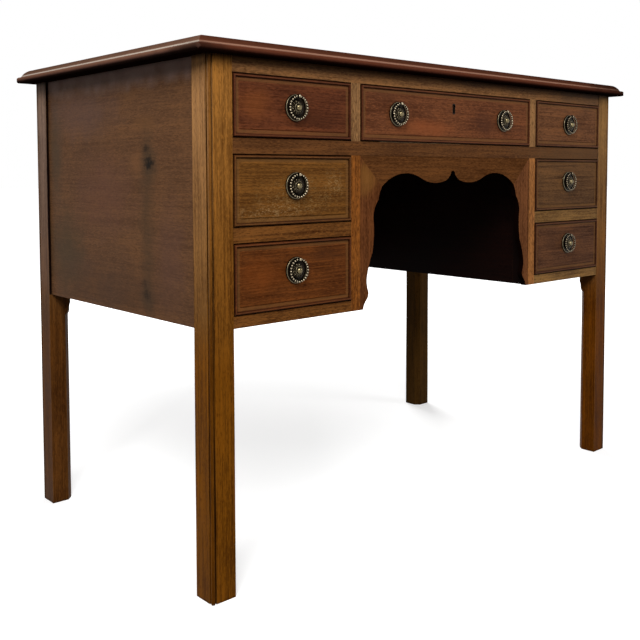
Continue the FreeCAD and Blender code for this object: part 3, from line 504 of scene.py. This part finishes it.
def finish_rails():
    """Front rails and uprights; those on the right have faded to a greyer brown."""
    # Painted shadow under the top, and a greyer right end
    marks = [
        (overhang_shadow, RAIL_SHADOW_DROP),
        (cloudy_tint, "#43352b", 0.6, (0.45, 0, UNDER_TOP), (0.3, FAR, FAR)),
    ]
    give(mahogany("mahogany_top_rail", "X", "#805835", cut=2.2, fleck=1.1, marks=marks), "top_rail")
    marks = [(cloudy_tint, "#5b4129", 0.6, (0.40, 0, 0.6), (0.3, FAR, FAR))]
    give(mahogany("mahogany_middle_rail", "X", "#53331a", cut=2.9, fleck=1.1, rub=0.0, marks=marks),
         "middle_rail")
    give(mahogany("mahogany_drawer_rail", "X", "#603b1a", cut=8.4, contrast=1.5, fleck=1.2),
         "drawer_rail_left", "bottom_rail_left")
    give(mahogany("mahogany_drawer_rail_grey", "X", "#70522f", cut=8.4, contrast=1.3, fleck=1.1),
         "drawer_rail_right", "bottom_rail_right")
    give(mahogany("mahogany_divider", "Z", "#7c5a39", cut=6.6, fleck=1.4), "divider_left", "divider_right")
    for stile, tone in (("stile_left", "#75441a"), ("stile_right", "#8d5c32")):
        # Edges turned away from the front get painted shade
        marks = [(shaded_edges,)]
        give(mahogany("mahogany_" + stile, "Z", tone, cut=9.2, fleck=1.4, rub=0.1, marks=marks), stile)


def finish_kneehole():
    """The scalloped trim; the left piece is golden at its mitre."""
    golden = (cloudy_tint, "#865a2a", 0.6, (-0.205, 0, 0.575), (0.03, FAR, 0.04))
    trim = (
        ("apron", "X", "#54331a", 3.8, []),
        ("bracket_left", "Z", "#5a341c", 4.7, [golden]),
        ("bracket_right", "Z", "#623c24", 4.7, []),
    )
    for name, grain, tone, cut, stains in trim:
        # Edges turned away from the front get painted shade
        marks = stains + [(shaded_edges,)]
        give(mahogany("mahogany_" + name, grain, tone, cut, gloss=0.0, rub=0.0, marks=marks), name)


def finish_panels():
    """Sides, back and the inner walls of the pedestals; the inner walls and the back's inner face are painted
    near black as shade, the left side has a painted light band under the top, and two knots.
    """
    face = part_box("side_panel_left")[0].x
    marks = [
        (cloudy_tint, "#3f3524", 0.6, (face, 0.166, 0.45), (FAR, 0.10, 0.10)),
        (cloudy_tint, "#41372a", 0.6, (face, 0.20, 0.62), (FAR, 0.04, 0.12)),
        (cloudy_tint, "#6e4a2c", 0.5, (face, -0.096, 0.655), (FAR, 0.04, 0.02)),
        (cloudy_tint, "#3c3022", 0.45, (face, -0.098, 0.50), (FAR, 0.030, 0.22)),
        (cloudy_tint, "#3a281d", 0.45, (face, 0.0, 0.40), (FAR, 0.3, 0.07)),
        (cloudy_tint, "#5c4640", 0.45, (face, 0.10, 0.68), (FAR, 0.16, 0.06)),
        # Painted light: a pale band under the top lifts the shadow of the overhang
        (cloudy_tint, "#957a70", 0.9, (face, 0, 0.745), (FAR, 0.9, 0.045)),
        (cloudy_tint, "#7a5233", 0.45, (face, -0.07, 0.597), (FAR, 0.03, 0.025)),
        (cloudy_tint, "#644236", 0.4, (face, 0.03, 0.55), (FAR, 0.13, 0.09)),
        (cloudy_tint, "#5c4036", 0.4, (face, -0.16, 0.46), (FAR, 0.06, 0.12)),
        (knot, (face, -0.106, 0.597), 0.024, 0.95),
        (knot, (face, -0.096, 0.403), 0.020, 0.6),
    ]
    left = mahogany("mahogany_panel_left", "Y", "#5e402a", cut=1.3, contrast=0.55, fleck=0.8, rub=0.1,
                    marks=marks)
    give(left, "side_panel_left")
    right = mahogany("mahogany_panel_right", "Y", "#5c3d27", cut=5.9, contrast=0.55, fleck=0.45, rub=0.1)
    give(right, "side_panel_right")
    # The inner face of the back is painted near black as shade
    inner_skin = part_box("back_panel")[0].y + INNER_SKIN
    inside = (tint_in_box, DEEP_SHADE, 1.0, (-FAR, -FAR, -FAR), (FAR, inner_skin, FAR))
    back = mahogany("mahogany_panel_back", "X", "#4b3020", cut=4.4, contrast=0.7, rub=0.1, marks=[inside])
    give(back, "back_panel")
    # The inner walls of the kneehole are painted near black as shade
    for hand in HANDS:
        wall = mahogany("mahogany_painted_shade_" + hand, "Y", "#0d0403", cut=4.1, sheen=0.5, rub=0.0)
        give(wall, "kneehole_wall_" + hand)


def finish_fronts():
    """Drawer fronts; each has its own faded and dark patches, and the middle left one is the most worn."""
    fronts = {
        "top_left": ("#532c19", 1.1),
        "middle_left": ("#5f3c18", 1.1),
        "bottom_left": ("#542d12", 1.5),
        "centre": ("#613821", 0.9),
        "top_right": ("#603d26", 1.1),
        "middle_right": ("#523822", 1.4),
        "bottom_right": ("#4e311f", 1.5),
    }
    marks = {
        "top_left": [
            (cloudy_tint, "#7c441f", 0.5, (-0.425, 0, 0.677), (0.05, FAR, 0.03)),
            (cloudy_tint, "#351a0d", 0.6, (-0.300, 0, 0.657), (0.09, FAR, 0.02)),
        ],
        "middle_left": [
            (specks, "#a9875a", (-0.394, 0, 0.526), (0.09, FAR, 0.022)),
            (specks, "#a08052", (-0.274, 0, 0.567), (0.03, FAR, 0.03)),
            (specks, "#947546", (-0.35, 0, 0.55), (0.11, FAR, 0.04)),
        ],
        "bottom_left": [
            (cloudy_tint, "#7a3d15", 0.5, (-0.415, 0, 0.440), (0.06, FAR, 0.035)),
            (cloudy_tint, "#3a2010", 0.5, (-0.292, 0, 0.462), (0.07, FAR, 0.02)),
        ],
        "centre": [
            (cloudy_tint, "#8a4a28", 0.65, (-0.070, 0, 0.655), (0.09, FAR, 0.022)),
            (cloudy_tint, "#3c2116", 0.55, (0.086, 0, 0.665), (0.07, FAR, 0.03)),
            (cloudy_tint, "#3f2316", 0.4, (-0.175, 0, 0.705), (0.06, FAR, 0.012)),
        ],
    }
    for number, (name, (tone, contrast)) in enumerate(fronts.items()):
        board = "drawer_front_" + name
        # Each front's bead gets painted shade and a painted highlight
        worn = marks.get(name, []) + [(bead_light_and_wear, *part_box(board))]
        cut = FRONT_CUT + number * FRONT_CUT_STEP
        give(mahogany("mahogany_front_" + name, "X", tone, cut, contrast=contrast, marks=worn), board)


# Oak drawer linings: planed and left raw, so dull, with straight pale grain.

OAK_STREAK_MM = (4, 180)
OAK_STREAK_START = (1.1, 0.4, 2.0)
OAK_BAND_MM = (40, 500)
OAK_BAND_START = (0.3, 1.9, 0.8)
OAK_STREAK_SHARE = 0.5
OAK_DARKEST, OAK_LIGHTEST = 0.36, 0.64


def oak():
    """Raw oak for what the drawers hide."""
    material, tree, shader = new_material("oak_lining_raw")
    coords = add(tree, "ShaderNodeTexCoord").outputs["Object"]
    streak = grain_noise(tree, coords, "Y", OAK_STREAK_MM, OAK_STREAK_START, detail=4)
    band = grain_noise(tree, coords, "Y", OAK_BAND_MM, OAK_BAND_START, detail=2)
    tone = add(tree, "ShaderNodeMix", {0: OAK_STREAK_SHARE, 2: band, 3: streak}, data_type="FLOAT")
    ramp = add(tree, "ShaderNodeValToRGB", {"Fac": tone.outputs[0]})
    stops = ramp.color_ramp.elements
    stops[0].position = OAK_DARKEST
    stops[0].color = linear("#8a6a45")
    stops[1].position = OAK_LIGHTEST
    stops[1].color = linear("#b8956a")
    tree.links.new(ramp.outputs[0], shader.inputs["Base Color"])
    bump = add(tree, "ShaderNodeBump", {"Height": streak, "Strength": 0.25, "Distance": GRAIN_DEPTH})
    tree.links.new(bump.outputs[0], shader.inputs["Normal"])
    shader.inputs["Roughness"].default_value = 0.7
    shader.inputs["IOR"].default_value = 1.5
    return material


# Brass: cast, darkened with age and rubbed bright where fingers reach it.

MOTTLE_MM = 3
MOTTLE_LOW, MOTTLE_HIGH = 0.3, 0.7
MOTTLE_LEAST = 0.7
CAST_DEPTH = 0.2 * MM
# How far a hollow looks round itself, how open a face is where it is dull and where it is bright, and how
# much rougher the dull brass is
HOLLOW_REACH = 5 * MM
HOLLOW_FACE, OPEN_FACE = 0.45, 0.95
HOLLOW_ROUGHER = 0.25


def brass(name, bright, dull, roughness):
    """Brass that is bright on its open faces, and dull and rougher in its hollows."""
    material, tree, shader = new_material(name)
    coords = add(tree, "ShaderNodeTexCoord").outputs["Object"]
    mottle = add(tree, "ShaderNodeTexNoise", {
        "Vector": coords, "Scale": 1 / (MOTTLE_MM * MM), "Detail": 3.0})
    hollow = add(tree, "ShaderNodeAmbientOcclusion", {"Distance": HOLLOW_REACH}, samples=8)
    open_face = add(tree, "ShaderNodeMapRange", {
        "Value": hollow.outputs["AO"], "From Min": HOLLOW_FACE, "From Max": OPEN_FACE})
    patchy = add(tree, "ShaderNodeMapRange", {
        "Value": mottle.outputs["Fac"], "From Min": MOTTLE_LOW, "From Max": MOTTLE_HIGH,
        "To Min": MOTTLE_LEAST})
    bare = add(tree, "ShaderNodeMath", {0: open_face.outputs[0], 1: patchy.outputs[0]}, operation="MULTIPLY")
    colour = add(tree, "ShaderNodeMix", {
        0: bare.outputs[0], 6: linear(dull), 7: linear(bright)}, data_type="RGBA")
    tree.links.new(colour.outputs[2], shader.inputs["Base Color"])
    rough = add(tree, "ShaderNodeMapRange", {
        "Value": bare.outputs[0], "To Min": roughness + HOLLOW_ROUGHER, "To Max": roughness})
    tree.links.new(rough.outputs[0], shader.inputs["Roughness"])
    bump = add(tree, "ShaderNodeBump", {
        "Height": mottle.outputs["Fac"], "Strength": 0.12, "Distance": CAST_DEPTH})
    tree.links.new(bump.outputs[0], shader.inputs["Normal"])
    shader.inputs["Metallic"].default_value = 1.0
    return material


# Steel of the lock: filed, grey and slightly brown.

FILE_MARK_MM = (0.6, 12)
FILE_MARK_DEPTH = 0.1 * MM


def steel():
    """Steel with fine file marks along the lock."""
    material, tree, shader = new_material("steel_lock_filed")
    coords = add(tree, "ShaderNodeTexCoord").outputs["Object"]
    marks = grain_noise(tree, coords, "X", FILE_MARK_MM, (0, 0, 0), detail=3)
    ramp = add(tree, "ShaderNodeValToRGB", {"Fac": marks})
    ramp.color_ramp.elements[0].color = linear("#4c4640")
    ramp.color_ramp.elements[1].color = linear("#8b857c")
    tree.links.new(ramp.outputs[0], shader.inputs["Base Color"])
    bump = add(tree, "ShaderNodeBump", {"Height": marks, "Strength": 0.2, "Distance": FILE_MARK_DEPTH})
    tree.links.new(bump.outputs[0], shader.inputs["Normal"])
    shader.inputs["Metallic"].default_value = 1.0
    shader.inputs["Roughness"].default_value = 0.42
    return material


# Ring pulls and rosettes

BEADS = 24
BEAD_RADIUS = 1.6 * MM
BEAD_SIDES, BEAD_ROWS = 12, 8
WIRE_SIDES = 10
WIRE_STEPS = 72
WELD = 0.01 * MM  # points nearer than this are one
RING_STAND = 7.6 * MM  # from the drawer front to the middle of the ring
PETALS = 12
PETAL_INNER = 6.0 * MM
PETAL_OUTER = 11.7 * MM
PETAL_RISE = 0.8 * MM
PETAL_THICK = 0.4 * MM
PETAL_SINK = 0.1 * MM
PETAL_NECK = 0.38  # where on its swell a petal starts; it ends in a point
PETAL_SPREAD = 0.46  # half of a petal's share of the circle, with a gap beside it
PETAL_STEPS = 10
PETAL_RIBS = 6
CUP_FOOT = 12.3 * MM
CUP_RADIUS = 11.4 * MM
CUP_RISE = 4.8 * MM
PLATE_THICK = 1.2 * MM
DOME_RISE = 6.4 * MM
DOME_BULGE = 0.5 * MM
COLLAR_RADIUS = 5.9 * MM
# Turned parts: radius and height above the drawer front, in millimetres
COLLAR = [(5.4, 6.9), (6.5, 6.9), (6.5, 7.2), (6.0, 7.7), (5.4, 7.3)]
# A thin ring of lighter worn brass on the rim: a painted highlight
RIM_HIGHLIGHT = [(18.2, 1.9), (18.9, 1.7), (19.0, 2.0), (18.5, 2.5), (18.0, 2.6), (17.7, 2.4)]
TURNED_STEPS = 48
CAP_RADIUS = 5.1
CAP_FOOT = 7.0
CAP_HOLLOW = [(0.15, 9.0), (3.6, 7.0)]
CAP_STEPS = 7
CAP_END = math.radians(88)  # the cap's arc stops just short of the axis
EYE_BEAD_HALF = (2.0, 1.0, 2.2)  # millimetres along each axis
EYE_BEAD_SIDES, EYE_BEAD_ROWS = 16, 10
EYE_BEAD_STAND = 2.5 * MM
TARNISHED, RUBBED_BRIGHT, WORN, POLISHED = range(4)  # material slots of the handle pieces


def new_piece(name, mesh, materials, body):
    """A smooth-shaded mesh object that rides on a body."""
    data = bpy.data.meshes.new(name)
    mesh.to_mesh(data)
    mesh.free()
    data.polygons.foreach_set("use_smooth", [True] * len(data.polygons))
    for material in materials:
        data.materials.append(material)
    piece = bpy.data.objects.new(name, data)
    bpy.context.scene.collection.objects.link(piece)
    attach(piece, body)
    return piece


def dress(mesh, first, slot):
    """Give the faces made since the first one a material slot."""
    mesh.faces.ensure_lookup_table()
    for face in mesh.faces[first:]:
        face.material_index = slot


def ring_place(name):
    """Middle, radius and wire radius of a ring pull."""
    low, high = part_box("ring_pull_" + name)
    wire = (high.y - low.y) / 2
    return (low + high) / 2, (high.x - low.x) / 2 - wire, wire


def beaded_ring(name, materials):
    """A dark wire ring strung with bright round beads, with a gap for the eye at its top."""
    middle, radius, wire = ring_place(name)
    mesh = bmesh.new()
    turned = Matrix.Translation(middle + Vector((0, 0, radius))) @ Matrix.Rotation(math.pi / 2, 4, "Y")
    circle = bmesh.ops.create_circle(mesh, segments=WIRE_SIDES, radius=wire, matrix=turned)
    bmesh.ops.spin(mesh, geom=circle["verts"] + mesh.edges[:], cent=middle, axis=(0, 1, 0),
                   angle=math.tau, steps=WIRE_STEPS, use_merge=True)
    bmesh.ops.remove_doubles(mesh, verts=mesh.verts, dist=WELD)
    wire_faces = len(mesh.faces)
    for number in range(1, BEADS):
        angle = math.tau * number / BEADS
        spot = middle + Vector((math.sin(angle), 0, math.cos(angle))) * radius
        bmesh.ops.create_uvsphere(mesh, u_segments=BEAD_SIDES, v_segments=BEAD_ROWS, radius=BEAD_RADIUS,
                                  matrix=Matrix.Translation(spot))
    dress(mesh, wire_faces, RUBBED_BRIGHT)
    bmesh.ops.recalc_face_normals(mesh, faces=mesh.faces)
    piece = new_piece("beaded_ring_" + name, mesh, materials, "ring_" + name)
    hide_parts("ring_pull_" + name)


def dome_height(radius):
    """Height of the backplate's raised cup above the drawer front."""
    if radius > CUP_RADIUS:
        part = (CUP_FOOT - radius) / (CUP_FOOT - CUP_RADIUS)
        return PLATE_THICK + (CUP_RISE - PLATE_THICK) * part
    part = (CUP_RADIUS - radius) / (CUP_RADIUS - COLLAR_RADIUS)
    return CUP_RISE + (DOME_RISE - CUP_RISE) * part + 4 * DOME_BULGE * part * (1 - part)


def turned_ring(mesh, centre, profile):
    """A closed profile of (radius, height) in millimetres, turned round the handle's axis."""
    loop = [mesh.verts.new(centre + Vector((radius, -height, 0)) * MM) for radius, height in profile]
    edges = [mesh.edges.new(pair) for pair in zip(loop, loop[1:] + loop[:1])]
    bmesh.ops.spin(mesh, geom=loop + edges, cent=centre, axis=(0, 1, 0), angle=math.tau,
                   steps=TURNED_STEPS, use_merge=True)


def petals(mesh, centre):
    """Pointed petals that stand on the backplate round its collar."""
    for petal in range(PETALS):
        heading = math.tau * (petal + 0.5) / PETALS
        rows = []
        for step in range(PETAL_STEPS + 1):
            along = step / PETAL_STEPS
            radius = PETAL_INNER + (PETAL_OUTER - PETAL_INNER) * along
            swell = math.sin(math.pi * (PETAL_NECK + (1 - PETAL_NECK) * along))
            row = []
            for rib in range(PETAL_RIBS + 1):
                across = 2 * rib / PETAL_RIBS - 1
                angle = heading + across * swell * PETAL_SPREAD * math.tau / PETALS
                rise = dome_height(radius) + PETAL_RISE * (1 - across ** 2) * swell - PETAL_SINK
                spot = Vector((math.sin(angle) * radius, -rise, math.cos(angle) * radius))
                row.append(mesh.verts.new(centre + spot))
            rows.append(row)
        for inner, outer in zip(rows, rows[1:]):
            for rib in range(PETAL_RIBS):
                face = mesh.faces.new((inner[rib], inner[rib + 1], outer[rib + 1], outer[rib]))
                face.material_index = WORN if rib in (0, PETAL_RIBS - 1) else TARNISHED
    bmesh.ops.remove_doubles(mesh, verts=mesh.verts, dist=WELD)
    bmesh.ops.recalc_face_normals(mesh, faces=mesh.faces)
    bmesh.ops.solidify(mesh, geom=mesh.faces[:], thickness=PETAL_THICK)


def boss_cap():
    """Profile of the rounded cap on the boss, hollow underneath."""
    arc = [CAP_END * step / CAP_STEPS for step in range(CAP_STEPS + 1)]
    dome = [(CAP_RADIUS * math.cos(angle), CAP_FOOT + CAP_RADIUS * math.sin(angle)) for angle in arc]
    return dome + CAP_HOLLOW


def rosette(name, body, materials):
    """Petals with worn edges, a worn collar, a lighter ring on the rim as a painted highlight, a polished cap
    and a bright bead on the eye.
    """
    middle, radius, _ = ring_place(name)
    centre = middle + Vector((0, RING_STAND, 0))
    mesh = bmesh.new()
    petals(mesh, centre)
    for profile, slot in ((COLLAR, WORN), (RIM_HIGHLIGHT, WORN), (boss_cap(), POLISHED)):
        made = len(mesh.faces)
        turned_ring(mesh, centre, profile)
        dress(mesh, made, slot)
    made = len(mesh.faces)
    bead = Matrix.Translation(middle + Vector((0, -EYE_BEAD_STAND, radius)))
    bmesh.ops.create_uvsphere(mesh, u_segments=EYE_BEAD_SIDES, v_segments=EYE_BEAD_ROWS, radius=1 * MM,
                              matrix=bead @ Matrix.Diagonal((*EYE_BEAD_HALF, 1.0)))
    dress(mesh, made, RUBBED_BRIGHT)
    bmesh.ops.recalc_face_normals(mesh, faces=mesh.faces)
    new_piece("rosette_" + name, mesh, materials, body)


def finish_fittings():
    """Brass, steel and drawer linings; the beads of the handles on the right are a darker copy of the rubbed
    brass, painted shade.
    """
    dark_brass = brass("brass_tarnished", bright="#19130c", dull="#040302", roughness=0.3)
    finishes = [
        dark_brass,
        brass("brass_rubbed", bright="#968a73", dull="#15100a", roughness=0.18),
        brass("brass_worn", bright="#6c624d", dull="#0d0906", roughness=0.28),
        brass("brass_polished", bright="#6c6147", dull="#0d0906", roughness=0.2),
    ]
    # A darker copy of the rubbed brass for the handles on the right: painted shade
    right_shaded = list(finishes)
    right_shaded[RUBBED_BRIGHT] = brass("brass_rubbed_shaded", bright="#756a56", dull="#15100a", roughness=0.2)
    drawers = [f"{row}_{hand}" for row in ("top", "middle", "bottom") for hand in HANDS]
    handles = {name: "drawer_" + name for name in drawers}
    handles.update({"centre_" + hand: "drawer_centre" for hand in HANDS})
    for name, body in handles.items():
        materials = right_shaded if body.endswith("right") else finishes
        beaded_ring(name, materials)
        rosette(name, body, materials)
    drawers.append("centre")
    give(dark_brass, "escutcheon", *("handle_plate_" + name for name in drawers))
    give(steel(), "lock_case", "lock_bolt")
    give(oak(), "drawer_runners", "drawer_stops", "glue_blocks", *("drawer_box_" + name for name in drawers))


# Studio

FLOOR_REACH = 30.0
SHADOW_GLOW = 0.45  # how much the floor glows near the table, where its shadow falls
GLOW_START, GLOW_FULL = 0.7, 2.2  # metres from the middle of the floor
FILL = 0.18


def background_rays(tree):
    """One for rays that see the background: from the eye, off a glossy face or through glass."""
    path = add(tree, "ShaderNodeLightPath")
    seen = path.outputs["Is Camera Ray"]
    for ray in ("Is Glossy Ray", "Is Transmission Ray"):
        either = add(tree, "ShaderNodeMath", {0: seen, 1: path.outputs[ray]}, operation="MAXIMUM")
        seen = either.outputs[0]
    return seen


def floor_paper():
    """White paper that keeps the table's shadow, glows away from it and sends little light back up."""
    material, tree, shader = new_material("floor_paper_white")
    tree.nodes.remove(shader)
    dim = add(tree, "ShaderNodeBsdfDiffuse", {"Color": linear("#6a6a6a")})
    paper = add(tree, "ShaderNodeBsdfDiffuse", {"Color": linear("#d8d8d8")})
    coords = add(tree, "ShaderNodeTexCoord").outputs["Object"]
    away = add(tree, "ShaderNodeVectorMath", {0: coords}, operation="LENGTH")
    lift = add(tree, "ShaderNodeMapRange", {
        "Value": away.outputs["Value"], "From Min": GLOW_START, "From Max": GLOW_FULL,
        "To Min": SHADOW_GLOW, "To Max": 1.0}, interpolation_type="SMOOTHSTEP")
    glow = add(tree, "ShaderNodeEmission", {"Color": (1, 1, 1, 1), "Strength": lift.outputs[0]})
    white = add(tree, "ShaderNodeAddShader", {0: paper.outputs[0], 1: glow.outputs[0]})
    seen = background_rays(tree)
    both = add(tree, "ShaderNodeMixShader", {0: seen, 1: dim.outputs[0], 2: white.outputs[0]})
    tree.links.new(both.outputs[0], tree.nodes["Material Output"].inputs["Surface"])
    return material


def stage_floor():
    """The floor that the table stands on."""
    mesh = bmesh.new()
    bmesh.ops.create_grid(mesh, x_segments=1, y_segments=1, size=FLOOR_REACH)
    data = bpy.data.meshes.new("floor")
    mesh.to_mesh(data)
    mesh.free()
    data.materials.append(floor_paper())
    floor = bpy.data.objects.new("floor", data)
    bpy.context.scene.collection.objects.link(floor)


def studio_world():
    """White to the camera and in reflections, a dim even fill otherwise."""
    world = bpy.data.worlds.new("studio")
    world.use_nodes = True
    tree = world.node_tree
    background = tree.nodes["Background"]
    seen = background_rays(tree)
    strength = add(tree, "ShaderNodeMapRange", {"Value": seen, "To Min": FILL, "To Max": 1.0})
    tree.links.new(strength.outputs[0], background.inputs["Strength"])
    background.inputs["Color"].default_value = (1, 1, 1, 1)
    bpy.context.scene.world = world


def area_lamp(name, place, target, size, watts):
    """A soft square lamp turned to a point."""
    data = bpy.data.lights.new(name, "AREA")
    data.size = size
    data.energy = watts
    lamp = bpy.data.objects.new(name, data)
    lamp.location = place
    lamp.rotation_euler = (Vector(target) - Vector(place)).to_track_quat("-Z", "Y").to_euler()
    bpy.context.scene.collection.objects.link(lamp)


def studio_lamps():
    """A large lamp high at the front left, a weaker one at the front right and one behind for the back."""
    area_lamp("key_lamp", place=(-2.15, -1.95, 2.6), target=(0, -0.1, 0.5), size=1.6, watts=142)
    area_lamp("right_lamp", place=(1.8, -2.2, 1.6), target=(0.2, -0.1, 0.45), size=1.2, watts=20)
    area_lamp("back_lamp", place=(1.5, 2.4, 1.9), target=(0.1, 0.1, 0.5), size=1.4, watts=75)


def photo_camera():
    """The photograph's view, solved from the table's edges."""
    data = bpy.data.cameras.new("photo_camera")
    data.sensor_width = 36.0
    data.lens = 48.747
    data.shift_x = 0.00188
    data.shift_y = -0.1553
    camera = bpy.data.objects.new("photo_camera", data)
    camera.location = (-1.14931, -1.20566, 0.58267)
    camera.rotation_euler = (math.radians(86.813), math.radians(0.120), math.radians(-41.830))
    bpy.context.scene.collection.objects.link(camera)
    bpy.context.scene.camera = camera
    bpy.context.scene.view_settings.view_transform = "Standard"


finish_top()
finish_legs()
finish_panels()
finish_rails()
finish_kneehole()
finish_fronts()
finish_fittings()
stage_floor()
studio_world()
studio_lamps()
photo_camera()
